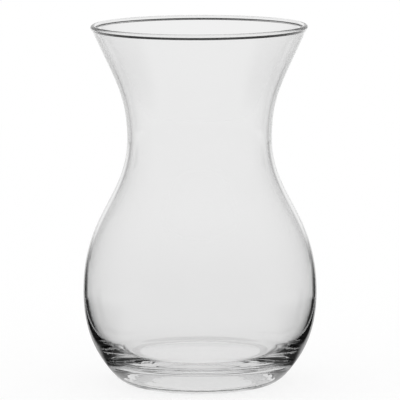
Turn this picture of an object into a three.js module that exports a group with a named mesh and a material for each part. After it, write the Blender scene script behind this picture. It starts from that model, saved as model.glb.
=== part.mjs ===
// A clear glass flower vase: a round belly on a thick solid base, drawn in to a waist and
// flared out to a fire-polished, beaded lip. The whole vase is one piece of glass.
// Millimetres, +Z up, origin on the axis in the plane of the foot.
import * as THREE from "three";

// Outside shape: diameters, with the heights at which they are measured.
const HEIGHT = 200;
const RIM_DIAMETER = 119.8;
const WAIST_DIAMETER = 80;
const WAIST_HEIGHT = 137.5;
const BELLY_DIAMETER = 129.6;
const BELLY_HEIGHT = 52;
const HEEL_DIAMETER = 96.4;
const HEEL_HEIGHT = 5.8;

// Slopes of the wall, in degrees from upright.
const FLARE_ANGLE = 24.2;
const HEEL_ANGLE = 41.4;

// Glass thickness.
const WALL = 2.3;
const NECK_WALL = 2;
const BASE_THICKNESS = 15;
const HEEL_WALL = 9.2;

// The bead that the fire leaves round the lip, and the fillets under it.
const BEAD_DIAMETER = 2.8;
const BEAD_FILLET = 2;

// How full each curve is: the length of a curve's handle as a share of the height it spans.
const BELLY_LOWER_FULLNESS = 0.51;
const HEEL_FULLNESS = 0.3;
const BELLY_UPPER_FULLNESS = 0.51;
const WAIST_LOWER_FULLNESS = 0.39;
const WAIST_UPPER_FULLNESS = 0.39;
const FLARE_FULLNESS = 0.5;
const INNER_BELLY_FULLNESS = 0.55;
const INNER_HEEL_FULLNESS = 0.68;

// Facets: steps along each curve and round the axis.
const CURVE_STEPS = 9;
const BEAD_STEPS = 8;
const FILLET_STEPS = 2;
const HEEL_STEPS = 6;
const AROUND_STEPS = 64;

const flareAngle = THREE.MathUtils.degToRad(FLARE_ANGLE);
const heelAngle = THREE.MathUtils.degToRad(HEEL_ANGLE);
const upright = new THREE.Vector2(0, 1);
const outward = new THREE.Vector2(1, 0);
const alongFlare = new THREE.Vector2(Math.sin(flareAngle), Math.cos(flareAngle));
const acrossFlare = new THREE.Vector2(Math.cos(flareAngle), -Math.sin(flareAngle));
const alongHeel = new THREE.Vector2(Math.sin(heelAngle), Math.cos(heelAngle));

// The bead sits on the middle of the flared wall, with a fillet on each side.
const beadRadius = BEAD_DIAMETER / 2;
const beadCentre = new THREE.Vector2(RIM_DIAMETER / 2 - beadRadius, HEIGHT - beadRadius);
const beadReach = beadRadius + BEAD_FILLET;
const filletReach = NECK_WALL / 2 + BEAD_FILLET;
const filletTurn = Math.acos(filletReach / beadReach);
const filletFoot = beadCentre.clone().addScaledVector(alongFlare, -beadReach * Math.sin(filletTurn));
const outerFilletCentre = filletFoot.clone().addScaledVector(acrossFlare, filletReach);
const innerFilletCentre = filletFoot.clone().addScaledVector(acrossFlare, -filletReach);

// Key points of the section, as radius and height.
const flareTop = filletFoot.clone().addScaledVector(acrossFlare, NECK_WALL / 2);
const waist = new THREE.Vector2(WAIST_DIAMETER / 2, WAIST_HEIGHT);
const belly = new THREE.Vector2(BELLY_DIAMETER / 2, BELLY_HEIGHT);
const heel = new THREE.Vector2(HEEL_DIAMETER / 2, HEEL_HEIGHT);
const innerBelly = new THREE.Vector2(belly.x - WALL, BELLY_HEIGHT);
const floorEdge = new THREE.Vector2(heel.x - HEEL_WALL, BASE_THICKNESS);

// The heel rolls under in an arc that leaves the flank at the heel and lands on the flat foot.
const heelRadius = HEEL_HEIGHT / (1 - Math.sin(heelAngle));
const heelCentre = new THREE.Vector2(heel.x - heelRadius * Math.cos(heelAngle), heelRadius);

// A smooth curve that leaves `from` along `fromWay` and reaches `to` along `toWay`.
function sweep(from, fromWay, fromHandle, to, toWay, toHandle) {
  return new THREE.CubicBezierCurve(
    from,
    from.clone().addScaledVector(fromWay, fromHandle),
    to.clone().addScaledVector(toWay, -toHandle),
    to,
  );
}

// Points of a curve of the outside wall, moved in square to it by a thickness that changes evenly.
function insideOf(curve, startThickness, endThickness) {
  const points = [];
  for (let step = 0; step <= CURVE_STEPS; step++) {
    const share = step / CURVE_STEPS;
    const tangent = curve.getTangent(share);
    const inward = new THREE.Vector2(-tangent.y, tangent.x);
    const thickness = THREE.MathUtils.lerp(startThickness, endThickness, share);
    points.push(curve.getPoint(share).addScaledVector(inward, thickness));
  }
  return points;
}

// Curves of the outside wall, from the heel up to the lip.
const lowerRise = belly.y - heel.y;
const lowerFlank = sweep(
  heel, alongHeel, HEEL_FULLNESS * lowerRise,
  belly, upright, BELLY_LOWER_FULLNESS * lowerRise,
);
const shoulderRise = waist.y - belly.y;
const shoulder = sweep(
  belly, upright, BELLY_UPPER_FULLNESS * shoulderRise,
  waist, upright, WAIST_LOWER_FULLNESS * shoulderRise,
);
const flareRise = flareTop.y - waist.y;
const flare = sweep(
  waist, upright, WAIST_UPPER_FULLNESS * flareRise,
  flareTop, alongFlare, FLARE_FULLNESS * flareRise,
);

// The inside of the belly sweeps down and in to the floor of the vase.
const innerLower = sweep(
  innerBelly, upright.clone().negate(), INNER_BELLY_FULLNESS * (innerBelly.y - floorEdge.y),
  floorEdge, outward.clone().negate(), INNER_HEEL_FULLNESS * (innerBelly.x - floorEdge.x),
);

const heelArc = new THREE.EllipseCurve(
  heelCentre.x, heelCentre.y, heelRadius, heelRadius, -Math.PI / 2, -heelAngle, false,
);
const outerFillet = new THREE.EllipseCurve(
  outerFilletCentre.x, outerFilletCentre.y, BEAD_FILLET, BEAD_FILLET,
  Math.PI - flareAngle, Math.PI - flareAngle - filletTurn, true,
);
const bead = new THREE.EllipseCurve(
  beadCentre.x, beadCentre.y, beadRadius, beadRadius,
  -flareAngle - filletTurn, Math.PI - flareAngle + filletTurn, false,
);
const innerFillet = new THREE.EllipseCurve(
  innerFilletCentre.x, innerFilletCentre.y, BEAD_FILLET, BEAD_FILLET,
  filletTurn - flareAngle, -flareAngle, true,
);

// The whole section: under the base, up the outside, over the lip, down the inside to the axis.
const innerWall = [
  ...insideOf(shoulder, WALL, WALL),
  ...insideOf(flare, WALL, NECK_WALL).slice(1),
].reverse();
const section = [
  new THREE.Vector2(0, 0),
  ...heelArc.getPoints(HEEL_STEPS),
  ...lowerFlank.getPoints(CURVE_STEPS).slice(1),
  ...shoulder.getPoints(CURVE_STEPS).slice(1),
  ...flare.getPoints(CURVE_STEPS).slice(1),
  ...outerFillet.getPoints(FILLET_STEPS).slice(1),
  ...bead.getPoints(BEAD_STEPS).slice(1),
  ...innerFillet.getPoints(FILLET_STEPS).slice(1),
  ...innerWall.slice(1),
  ...innerLower.getPoints(CURVE_STEPS).slice(1),
  new THREE.Vector2(0, BASE_THICKNESS),
];

const clearGlass = new THREE.MeshStandardMaterial({
  name: "clear_glass",
  color: 0xf2f4f4,
  roughness: 0.03,
  metalness: 0,
  transparent: true,
  opacity: 0.3,
});

// The section turns about the axis, which stands along +Z.
const glassGeometry = new THREE.LatheGeometry(section, AROUND_STEPS).rotateX(Math.PI / 2);
const glassBody = new THREE.Mesh(glassGeometry, clearGlass);
glassBody.name = "glass_body";

const vase = new THREE.Group();
vase.name = "vase";
vase.add(glassBody);

export default vase;
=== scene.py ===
"""A clear glass flower vase on a pale floor, in a bright studio with dark sides."""
from math import acos, cos, pi, radians, sin

import bmesh
import bpy
from mathutils import Matrix, Vector
from mathutils.geometry import interpolate_bezier


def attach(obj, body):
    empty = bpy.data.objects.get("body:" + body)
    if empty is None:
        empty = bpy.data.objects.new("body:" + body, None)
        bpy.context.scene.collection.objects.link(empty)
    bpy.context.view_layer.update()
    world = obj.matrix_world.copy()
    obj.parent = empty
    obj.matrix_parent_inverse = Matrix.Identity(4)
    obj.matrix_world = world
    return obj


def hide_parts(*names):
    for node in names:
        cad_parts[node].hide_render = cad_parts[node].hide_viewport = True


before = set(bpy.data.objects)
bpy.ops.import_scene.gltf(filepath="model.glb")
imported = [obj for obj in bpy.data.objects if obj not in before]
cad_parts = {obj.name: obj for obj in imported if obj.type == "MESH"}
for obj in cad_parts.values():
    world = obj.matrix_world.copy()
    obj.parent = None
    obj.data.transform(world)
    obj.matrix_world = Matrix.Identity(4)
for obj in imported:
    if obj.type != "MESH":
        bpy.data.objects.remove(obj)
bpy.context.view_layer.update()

MM = 0.001

# Outside of the vase: radii and the heights at which they are measured, and slopes from upright.
HEIGHT = 200 * MM
RIM_RADIUS = 59.9 * MM
WAIST_RADIUS = 40 * MM
WAIST_HEIGHT = 137.5 * MM
BELLY_RADIUS = 64.8 * MM
BELLY_HEIGHT = 52 * MM
HEEL_RADIUS = 48.2 * MM
HEEL_HEIGHT = 5.8 * MM
FLARE_ANGLE = radians(24.2)
HEEL_ANGLE = radians(41.4)

# Glass thickness.
WALL = 2.3 * MM
NECK_WALL = 2 * MM
BEAD_RADIUS = 1.4 * MM
BEAD_FILLET = 2 * MM
BASE_THICKNESS = 15 * MM
HEEL_WALL = 9.2 * MM

# How full each curve is: the length of its handle as a share of what it spans.
HEEL_FULLNESS = 0.3
BELLY_FULLNESS = 0.51
WAIST_FULLNESS = 0.39
FLARE_FULLNESS = 0.5
INNER_BELLY_FULLNESS = 0.55
INNER_HEEL_FULLNESS = 0.68

# Fineness of the mesh.
CURVE_POINTS = 40
ARC_STEPS = 14
AROUND_STEPS = 256
MERGE_DISTANCE = 0.001 * MM

# The glass. In each pair, here and below, a change starts at the first value and is complete at the second.
GLASS_IOR = 1.52
GLASS_TINT = (0.8, 0.8, 0.8, 1)
GLASS_TINT_DENSITY = 10
WAVE_SCALE = 160
WAVE_DETAIL = 1
WAVE_DEPTH = 0.12 * MM
WAVE_RADII = (34 * MM, 37 * MM)
WAVE_TOP = (8 * MM, 14 * MM)
STIPPLE_ROUGHNESS = 0.6
STIPPLE_RADII = (34 * MM, 35.5 * MM)
STIPPLE_TOP = (0.3 * MM, 0.9 * MM)

# Tones of the studio. Straight light reaches the camera without a reflection by the glass, and all the
# other tones are for light that the glass reflects.
STRAIGHT = 0.9
# Through the glass the floor is darker near the vase: a painted shadow of the vase.
STRAIGHT_NEAR_PAINTED_SHADOW = 0.84
# Through the glass the floor is lighter under the foot: painted light.
STRAIGHT_UNDER_PAINTED_LIGHT = 0.94
BACK = 0.88
NEAR = 0.42
STRIP = 0.72
FRONT = 0.45
SIDE = 0.53
FAR_SIDE = 0.8
TOP = 0.7
EDGE = 0.41
DARK = 0.02

# Counts on the light's way to the camera: reflections that make it deep or trapped in the thick base, and
# surfaces that it passes when it goes through both walls.
DEEP = 3
TRAPPED = 7
BOTH_WALLS = 3

# Changes of tone in the room, as degrees from straight behind the vase.
ROOM_SIDES = (140, 100)
ROOM_EDGE = (50, 38)
LOW_BACKDROP = (30, 22)
HIGH_BACKDROP = (36, 28)
DEEP_BACKDROP = (54, 40)
DEEP_SIDES = (112, 98)
TRAPPED_BACKDROP = (45, 23)

# Changes of tone in the room, as degrees up from level, and the top's as sines of such angles.
CEILING = (-1.5, 1.5)
BACKDROP_RISE = (5, 9)
DEEP_FRONT_RISE = (12, 20)
DEEP_RISE = (35, 50)
TOP_SINES = (0.1, 1)

# The floor. It lies just under the foot, so that the two faces don't share a plane.
FLOOR_RADIUS = 1200 * MM
FLOOR_DROP = 0.2 * MM
FLOOR_ALBEDO = 0.2

# Changes of tone on the floor, as distances from the vase's axis.
UNDER_FOOT = (36 * MM, 41 * MM)
ROUND_FOOT = (40 * MM, 60 * MM)
MIRRORED_BY_HEEL = (48 * MM, 64 * MM)
OPEN_SIDES = (150 * MM, 450 * MM)
SCREENED_SIDES = (297 * MM, 303 * MM)
FAR_SIDES = (450 * MM, 600 * MM)
# Over these distances the painted shadow of the vase on the floor fades out.
PAINTED_SHADOW_REACH = (150 * MM, 1000 * MM)

# Changes of tone on the floor, as distances behind the vase's axis.
PATH_FRONT = (10 * MM, 45 * MM)
PATH_REACH = (150 * MM, 700 * MM)
PATH_WIDENS = 40 * MM
HEEL_SHADE_FRONT = (20 * MM, 40 * MM)
HEEL_SHADE_BACK = (62 * MM, 70 * MM)

# Changes of tone on the floor, as distances to either side, and how fast the pale path gets wider.
PATH_STRIP = (40 * MM, 75 * MM)
PATH_EDGE = (82 * MM, 94 * MM)
PATH_SPREAD = 0.27
DEEP_PATH_EDGE = (70 * MM, 95 * MM)
HEEL_SHADE_SIDE = (18 * MM, 24 * MM)

# Changes of tone on the floor, as degrees from straight behind the vase.
SCREENED_WAY = (52, 44)
FAR_SIDES_WAY = (39, 32)
FLOOR_SIDES = (120, 95)
DEEP_FLOOR_SIDES = (125, 105)

# The low dark screen: its edges are degrees from straight behind the vase.
SCREEN_RADIUS = 300 * MM
SCREEN_HEIGHT = 100 * MM
SCREEN_FADE = (10 * MM, SCREEN_HEIGHT)
SCREEN_OUTER_EDGE = (45, 36)
SCREEN_INNER_EDGE = (30, 27)

# Camera, fitted to the ellipses of the rim and the floor.
IMAGE_WIDTH = 400
FOCAL_PIXELS = 3668.4
SENSOR_WIDTH = 36
CAMERA_PLACE = Vector((0.15, -2013.9, 386.4)) * MM
CAMERA_DOWN = radians(8.027)
CAMERA_ROLL = radians(-0.2)

# How far light is followed through the glass.
MAX_BOUNCES = 32
GLASS_BOUNCES = 16

# Added to what a place is divided by, so that it is never zero.
NOT_ZERO = 1e-9


class Wire:
    """A socket of a node tree. Arithmetic on it adds Math nodes."""

    def __init__(self, tree, socket):
        self.tree = tree
        self.socket = socket

    def math(self, operation, *values):
        made = self.tree.node("ShaderNodeMath", {"operation": operation}, dict(enumerate(values)))
        return made["Value"]

    def __add__(self, other):
        return self.math("ADD", self, other)

    def __sub__(self, other):
        return self.math("SUBTRACT", self, other)

    def __mul__(self, other):
        return self.math("MULTIPLY", self, other)

    def __truediv__(self, other):
        return self.math("DIVIDE", self, other)

    def __radd__(self, other):
        return self.math("ADD", other, self)

    def __rsub__(self, other):
        return self.math("SUBTRACT", other, self)

    def __rmul__(self, other):
        return self.math("MULTIPLY", other, self)

    def __gt__(self, other):
        return self.math("GREATER_THAN", self, other)

    def absolute(self):
        return self.math("ABSOLUTE", self)

    def root(self):
        return self.math("SQRT", self)

    def at_least(self, low):
        return self.math("MAXIMUM", self, low)

    def smooth(self, low, high):
        """0 below low, 1 above high, and an even blend between."""
        settings = {"interpolation_type": "SMOOTHSTEP"}
        sockets = {"Value": self, "From Min": low, "From Max": high}
        return self.tree.node("ShaderNodeMapRange", settings, sockets)["Result"]


class Made:
    """A node that was made, with its outputs as wires."""

    def __init__(self, tree, node):
        self.tree = tree
        self.node = node

    def __getitem__(self, output):
        return Wire(self.tree, self.node.outputs[output])


class Tree:
    """The nodes of a material or of the world."""

    def __init__(self, owner):
        owner.use_nodes = True
        self.tree = owner.node_tree
        self.tree.nodes.clear()

    def node(self, kind, settings=None, sockets=None):
        """A new node, with its settings and with the values or links of its sockets."""
        made = self.tree.nodes.new(kind)
        for name, value in (settings or {}).items():
            setattr(made, name, value)
        for name, value in (sockets or {}).items():
            if isinstance(value, Wire):
                self.tree.links.new(value.socket, made.inputs[name])
            else:
                made.inputs[name].default_value = value
        return Made(self, made)


def blend(start, end, share):
    """A number, place or wire between two others."""
    return start + (end - start) * share


def sweep(start, start_way, start_handle, end, end_way, end_handle):
    """Points of a smooth curve that leaves start along start_way and reaches end along end_way."""
    return interpolate_bezier(
        start, start + start_way * start_handle, end - end_way * end_handle, end, CURVE_POINTS
    )


def arc(centre, radius, start, end):
    """Points of an arc in the section plane, between two angles from +X."""
    angles = [blend(start, end, step / ARC_STEPS) for step in range(ARC_STEPS + 1)]
    return [centre + radius * Vector((cos(angle), 0, sin(angle))) for angle in angles]


def straight_line(start, end):
    """Points of a straight stretch."""
    return [blend(start, end, step / ARC_STEPS) for step in range(ARC_STEPS + 1)]


def inside_of(points, start_thickness, end_thickness):
    """The outline moved in, square to itself, by a thickness that changes evenly."""
    moved = []
    last = len(points) - 1
    for step, point in enumerate(points):
        before = points[max(step - 1, 0)]
        after = points[min(step + 1, last)]
        along = (after - before).normalized()
        inward = Vector((-along.z, 0, along.x))
        moved.append(point + inward * blend(start_thickness, end_thickness, step / last))
    return moved


def glass_section():
    """Half of the vase's section: under the base, up the outside, over the lip and down the inside."""
    up = Vector((0, 0, 1))
    out = Vector((1, 0, 0))
    along_flare = Vector((sin(FLARE_ANGLE), 0, cos(FLARE_ANGLE)))
    across_flare = Vector((cos(FLARE_ANGLE), 0, -sin(FLARE_ANGLE)))
    along_heel = Vector((sin(HEEL_ANGLE), 0, cos(HEEL_ANGLE)))

    # The bead sits on the middle of the flared wall, with a fillet on each side.
    bead_centre = Vector((RIM_RADIUS - BEAD_RADIUS, 0, HEIGHT - BEAD_RADIUS))
    bead_reach = BEAD_RADIUS + BEAD_FILLET
    fillet_reach = NECK_WALL / 2 + BEAD_FILLET
    fillet_turn = acos(fillet_reach / bead_reach)
    fillet_foot = bead_centre - along_flare * (bead_reach * sin(fillet_turn))
    outer_centre = fillet_foot + across_flare * fillet_reach
    inner_centre = fillet_foot - across_flare * fillet_reach
    outer_face = pi - FLARE_ANGLE
    outer_fillet = arc(outer_centre, BEAD_FILLET, outer_face, outer_face - fillet_turn)
    bead = arc(bead_centre, BEAD_RADIUS, -FLARE_ANGLE - fillet_turn, outer_face + fillet_turn)
    inner_fillet = arc(inner_centre, BEAD_FILLET, fillet_turn - FLARE_ANGLE, -FLARE_ANGLE)

    # The heel rolls under in an arc that leaves the flank and lands on the flat foot.
    heel_round = HEEL_HEIGHT / (1 - sin(HEEL_ANGLE))
    heel_centre = Vector((HEEL_RADIUS - heel_round * cos(HEEL_ANGLE), 0, heel_round))
    heel_arc = arc(heel_centre, heel_round, -pi / 2, -HEEL_ANGLE)
    foot = straight_line(up * 0, heel_arc[0])

    # The outside wall, from the heel up to the lip.
    heel = Vector((HEEL_RADIUS, 0, HEEL_HEIGHT))
    belly = Vector((BELLY_RADIUS, 0, BELLY_HEIGHT))
    waist = Vector((WAIST_RADIUS, 0, WAIST_HEIGHT))
    flare_top = fillet_foot + across_flare * NECK_WALL / 2
    lower_rise = BELLY_HEIGHT - HEEL_HEIGHT
    shoulder_rise = WAIST_HEIGHT - BELLY_HEIGHT
    flare_rise = flare_top.z - WAIST_HEIGHT
    lower_flank = sweep(
        heel, along_heel, HEEL_FULLNESS * lower_rise,
        belly, up, BELLY_FULLNESS * lower_rise,
    )
    shoulder = sweep(
        belly, up, BELLY_FULLNESS * shoulder_rise,
        waist, up, WAIST_FULLNESS * shoulder_rise,
    )
    flare = sweep(
        waist, up, WAIST_FULLNESS * flare_rise,
        flare_top, along_flare, FLARE_FULLNESS * flare_rise,
    )

    # The inside wall, and below the belly a curve down and in to the floor of the vase.
    inner_wall = inside_of(shoulder, WALL, WALL) + inside_of(flare, WALL, NECK_WALL)[1:]
    inner_belly = belly - out * WALL
    floor_edge = Vector((HEEL_RADIUS - HEEL_WALL, 0, BASE_THICKNESS))
    inner_lower = sweep(
        inner_belly, -up, INNER_BELLY_FULLNESS * (BELLY_HEIGHT - BASE_THICKNESS),
        floor_edge, -out, INNER_HEEL_FULLNESS * (inner_belly.x - floor_edge.x),
    )
    floor = straight_line(floor_edge, up * BASE_THICKNESS)

    return [
        *foot,
        *heel_arc[1:],
        *lower_flank[1:],
        *shoulder[1:],
        *flare[1:],
        *outer_fillet[1:],
        *bead[1:],
        *inner_fillet[1:],
        *inner_wall[::-1][1:],
        *inner_lower[1:],
        *floor[1:],
    ]


def finished(name, mesh):
    """The bmesh as an object in the scene, shaded smooth."""
    for face in mesh.faces:
        face.smooth = True
    data = bpy.data.meshes.new(name)
    mesh.to_mesh(data)
    mesh.free()
    piece = bpy.data.objects.new(name, data)
    bpy.context.scene.collection.objects.link(piece)
    return piece


def spun(name, outline):
    """A closed body: the outline turned about the vase's axis."""
    mesh = bmesh.new()
    corners = [mesh.verts.new(point) for point in outline]
    sides = [mesh.edges.new(pair) for pair in zip(corners, corners[1:])]
    bmesh.ops.spin(
        mesh, geom=corners + sides, cent=(0, 0, 0), axis=(0, 0, 1),
        angle=2 * pi, steps=AROUND_STEPS, use_merge=True,
    )
    bmesh.ops.remove_doubles(mesh, verts=mesh.verts, dist=MERGE_DISTANCE)
    bmesh.ops.recalc_face_normals(mesh, faces=mesh.faces)
    return finished(name, mesh)


def split(tree, vector):
    """The X, Y and Z of a place or direction."""
    parts = tree.node("ShaderNodeSeparateXYZ", sockets={"Vector": vector})
    return parts["X"], parts["Y"], parts["Z"]


def from_axis(x, y):
    """How far a place lies from the vase's axis."""
    return (x * x + y * y).root()


def behind_vase(x, y):
    """Where a place or direction lies: 1 straight behind the vase, 0 at its sides, -1 in front of it."""
    return y / (x * x + y * y + NOT_ZERO).root()


def towards_back(behind, degrees):
    """0 beyond the first angle from straight behind the vase, 1 within the second, a blend between."""
    start, end = degrees
    return behind.smooth(cos(radians(start)), cos(radians(end)))


def above_level(height, degrees):
    """0 below the first angle up from level, 1 above the second, a blend between."""
    start, end = degrees
    return height.smooth(sin(radians(start)), sin(radians(end)))


def seen_directly(tree):
    """1 for what the camera sees beside the glass, else 0."""
    return tree.node("ShaderNodeLightPath")["Is Camera Ray"]


def reflected(tree, times=1):
    """1 for light that the glass has reflected at least so often on its way to the camera, else 0."""
    return tree.node("ShaderNodeLightPath")["Glossy Depth"] > times - 0.5


def passed(tree, surfaces=1):
    """1 for light that has passed at least so many surfaces on its way to the camera, else 0."""
    return tree.node("ShaderNodeLightPath")["Transmission Depth"] > surfaces - 0.5


def scattered(tree):
    """1 for light that the floor has scattered on its way to the camera, else 0."""
    return tree.node("ShaderNodeLightPath")["Diffuse Depth"] > 0.5


def clear_glass():
    """Colourless glass, with faint waves in the pressed base and a stippled ring under the foot."""
    material = bpy.data.materials.new("clear_glass")
    tree = Tree(material)
    place = tree.node("ShaderNodeTexCoord")["Object"]
    x, y, z = split(tree, place)
    radius = from_axis(x, y)
    stipple = radius.smooth(*STIPPLE_RADII) * (1 - z.smooth(*STIPPLE_TOP))
    pressed = radius.smooth(*WAVE_RADII) * (1 - z.smooth(*WAVE_TOP))
    waves = tree.node(
        "ShaderNodeTexNoise",
        sockets={"Vector": place, "Scale": WAVE_SCALE, "Detail": WAVE_DETAIL},
    )
    bump = tree.node(
        "ShaderNodeBump",
        sockets={"Height": waves["Fac"] * pressed, "Strength": 1, "Distance": WAVE_DEPTH},
    )
    shader = tree.node(
        "ShaderNodeBsdfPrincipled",
        sockets={
            "Base Color": (1, 1, 1, 1), "Roughness": stipple * STIPPLE_ROUGHNESS, "IOR": GLASS_IOR,
            "Transmission Weight": 1, "Normal": bump["Normal"],
        },
    )
    tint = tree.node(
        "ShaderNodeVolumeAbsorption", sockets={"Color": GLASS_TINT, "Density": GLASS_TINT_DENSITY}
    )
    tree.node(
        "ShaderNodeOutputMaterial", sockets={"Surface": shader["BSDF"], "Volume": tint["Volume"]}
    )
    return material


def trapped_tone(behind):
    """Tone of the room and floor for light that the thick base has held for long."""
    return blend(DARK, BACK, towards_back(behind, TRAPPED_BACKDROP))


def room_tone(behind, height):
    """Tone of the room for light that the glass reflects: a pale backdrop between dim sides."""
    sides = blend(FRONT, SIDE, towards_back(behind, ROOM_SIDES))
    room = blend(sides, TOP, height.smooth(*TOP_SINES))
    room = blend(room, EDGE, towards_back(behind, ROOM_EDGE))
    high = above_level(height, BACKDROP_RISE)
    edges = [
        blend(cos(radians(low_edge)), cos(radians(high_edge)), high)
        for low_edge, high_edge in zip(LOW_BACKDROP, HIGH_BACKDROP)
    ]
    return blend(room, BACK, behind.smooth(*edges))


def deep_room_tone(behind, height):
    """Tone of the room for light that the thick base reflects several times."""
    back = blend(DARK, BACK, towards_back(behind, DEEP_BACKDROP))
    front = blend(FRONT, BACK, above_level(height, DEEP_FRONT_RISE))
    tone = blend(front, back, towards_back(behind, DEEP_SIDES))
    return blend(tone, BACK, above_level(height, DEEP_RISE))


def studio_world():
    """The room, which is white beside the glass, pale through it and toned for its reflections."""
    world = bpy.data.worlds.new("studio")
    bpy.context.scene.world = world
    tree = Tree(world)
    x, y, height = split(tree, tree.node("ShaderNodeTexCoord")["Generated"])
    behind = behind_vase(x, y)
    studio = blend(room_tone(behind, height), deep_room_tone(behind, height), reflected(tree, DEEP))
    studio = blend(studio, trapped_tone(behind), reflected(tree, TRAPPED))
    ceiling = above_level(height, CEILING) * (1 - scattered(tree))
    straight = blend(STRAIGHT, DARK, ceiling)
    tone = blend(blend(straight, studio, reflected(tree)), 1, seen_directly(tree))
    background = tree.node("ShaderNodeBackground", sockets={"Color": tone, "Strength": 1})
    tree.node("ShaderNodeOutputWorld", sockets={"Surface": background["Background"]})


def floor_sides_tone(behind, distance):
    """Tone of the floor beside the vase and in front of it, for light that the glass reflects."""
    screened = towards_back(behind, SCREENED_WAY)
    far = blend(distance.smooth(*OPEN_SIDES), distance.smooth(*SCREENED_SIDES), screened)
    far_side = distance.smooth(*FAR_SIDES) * towards_back(behind, FAR_SIDES_WAY)
    side = blend(blend(DARK, SIDE, far), FAR_SIDE, far_side)
    return blend(FRONT, side, towards_back(behind, FLOOR_SIDES))


def floor_tone(behind, x, y, distance, path):
    """Tone of the floor for light that the glass reflects: a pale path leads to the backdrop."""
    aside = x.absolute() - (y - PATH_WIDENS).at_least(0) * PATH_SPREAD
    on_path = (1 - aside.smooth(*PATH_EDGE)) * y.smooth(*PATH_FRONT)
    lit_path = blend(path, STRIP, aside.smooth(*PATH_STRIP))
    tone = blend(floor_sides_tone(behind, distance), lit_path, on_path)
    return blend(tone, NEAR, 1 - distance.smooth(*ROUND_FOOT))


def deep_floor_tone(behind, x, y, under):
    """Tone of the floor for light that the thick base reflects several times."""
    tone = blend(BACK, DARK, x.absolute().smooth(*DEEP_PATH_EDGE))
    tone = blend(FRONT, tone, towards_back(behind, DEEP_FLOOR_SIDES))
    close_behind = y.smooth(*HEEL_SHADE_FRONT) * (1 - y.smooth(*HEEL_SHADE_BACK))
    tone = blend(tone, DARK, close_behind * x.absolute().smooth(*HEEL_SHADE_SIDE))
    return blend(tone, BACK, under)


def pale_floor():
    """The floor, white with a soft shadow beside the glass, and toned for the glass's reflections."""
    mesh = bmesh.new()
    bmesh.ops.create_circle(
        mesh, cap_ends=True, segments=AROUND_STEPS, radius=FLOOR_RADIUS,
        matrix=Matrix.Translation((0, 0, -FLOOR_DROP)),
    )
    floor = finished("floor", mesh)
    material = bpy.data.materials.new("floor")
    floor.data.materials.append(material)
    tree = Tree(material)
    x, y, _ = split(tree, tree.node("ShaderNodeTexCoord")["Object"])
    behind = behind_vase(x, y)
    distance = from_axis(x, y)
    under = 1 - distance.smooth(*UNDER_FOOT)

    # Straight light, darker near the vase with a painted shadow, and what the camera sees beside the glass.
    straight = blend(STRAIGHT_NEAR_PAINTED_SHADOW, STRAIGHT, distance.smooth(*PAINTED_SHADOW_REACH))
    # Under the foot the floor seen through the glass is lifted with painted light.
    straight = blend(straight, STRAIGHT_UNDER_PAINTED_LIGHT, under)
    lift = blend(straight, 1, seen_directly(tree)) - FLOOR_ALBEDO * STRAIGHT
    glow = tree.node("ShaderNodeEmission", sockets={"Color": lift, "Strength": 1})
    diffuse = tree.node("ShaderNodeBsdfDiffuse", sockets={"Color": (FLOOR_ALBEDO,) * 3 + (1,)})
    plain = tree.node("ShaderNodeAddShader", sockets={0: diffuse["BSDF"], 1: glow["Emission"]})

    # Light that the glass reflects.
    both_walls = passed(tree, BOTH_WALLS)
    path = blend(NEAR, BACK, y.smooth(*PATH_REACH))
    studio = blend(floor_tone(behind, x, y, distance, path), path, both_walls)
    studio = blend(studio, deep_floor_tone(behind, x, y, under), reflected(tree, DEEP))
    studio = blend(studio, BACK, under * (1 - both_walls))
    studio = blend(studio, trapped_tone(behind), reflected(tree, TRAPPED))
    mirrored = (1 - passed(tree)) * (1 - distance.smooth(*MIRRORED_BY_HEEL))
    studio = blend(studio, BACK, mirrored)
    toned = tree.node("ShaderNodeEmission", sockets={"Color": studio, "Strength": 1})

    mixed = tree.node(
        "ShaderNodeMixShader",
        sockets={0: reflected(tree), 1: plain["Shader"], 2: toned["Emission"]},
    )
    tree.node("ShaderNodeOutputMaterial", sockets={"Surface": mixed["Shader"]})


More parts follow.
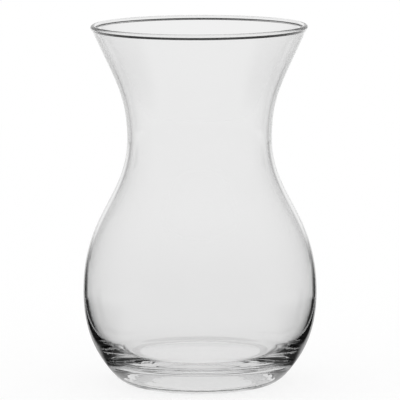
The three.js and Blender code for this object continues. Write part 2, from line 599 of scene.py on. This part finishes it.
def low_screen():
    """A low dark screen behind the vase's sides. Only light that the glass reflects meets it."""
    mesh = bmesh.new()
    bmesh.ops.create_cone(
        mesh, cap_ends=False, segments=AROUND_STEPS, radius1=SCREEN_RADIUS, radius2=SCREEN_RADIUS,
        depth=SCREEN_HEIGHT, matrix=Matrix.Translation((0, 0, SCREEN_HEIGHT / 2)),
    )
    screen = finished("low_screen", mesh)
    material = bpy.data.materials.new("low_screen")
    screen.data.materials.append(material)
    tree = Tree(material)
    x, y, z = split(tree, tree.node("ShaderNodeTexCoord")["Object"])
    behind = behind_vase(x, y)
    fading = 1 - z.smooth(*SCREEN_FADE)
    outer = towards_back(behind, SCREEN_OUTER_EDGE)
    beside = (1 - towards_back(behind, SCREEN_INNER_EDGE)) * outer
    clear = tree.node("ShaderNodeBsdfTransparent", sockets={"Color": (1, 1, 1, 1)})
    dark = tree.node("ShaderNodeEmission", sockets={"Color": (DARK, DARK, DARK, 1), "Strength": 1})
    mixed = tree.node(
        "ShaderNodeMixShader",
        sockets={0: reflected(tree) * fading * beside, 1: clear["BSDF"], 2: dark["Emission"]},
    )
    tree.node("ShaderNodeOutputMaterial", sockets={"Surface": mixed["Shader"]})


def photo_camera():
    """The camera, where the photograph's stood."""
    data = bpy.data.cameras.new("camera")
    data.sensor_width = SENSOR_WIDTH
    data.lens = SENSOR_WIDTH * FOCAL_PIXELS / IMAGE_WIDTH
    camera = bpy.data.objects.new("camera", data)
    bpy.context.scene.collection.objects.link(camera)
    turn = Matrix.Rotation(pi / 2 - CAMERA_DOWN, 4, "X") @ Matrix.Rotation(CAMERA_ROLL, 4, "Z")
    camera.matrix_world = Matrix.Translation(CAMERA_PLACE) @ turn
    bpy.context.scene.camera = camera


vase = spun("glass_vase", glass_section())
vase.data.materials.append(clear_glass())
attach(vase, "root")
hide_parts("glass_body")

studio_world()
pale_floor()
low_screen()
photo_camera()

scene = bpy.context.scene
scene.view_settings.view_transform = "Standard"
scene.cycles.max_bounces = MAX_BOUNCES
scene.cycles.glossy_bounces = GLASS_BOUNCES
scene.cycles.transmission_bounces = GLASS_BOUNCES
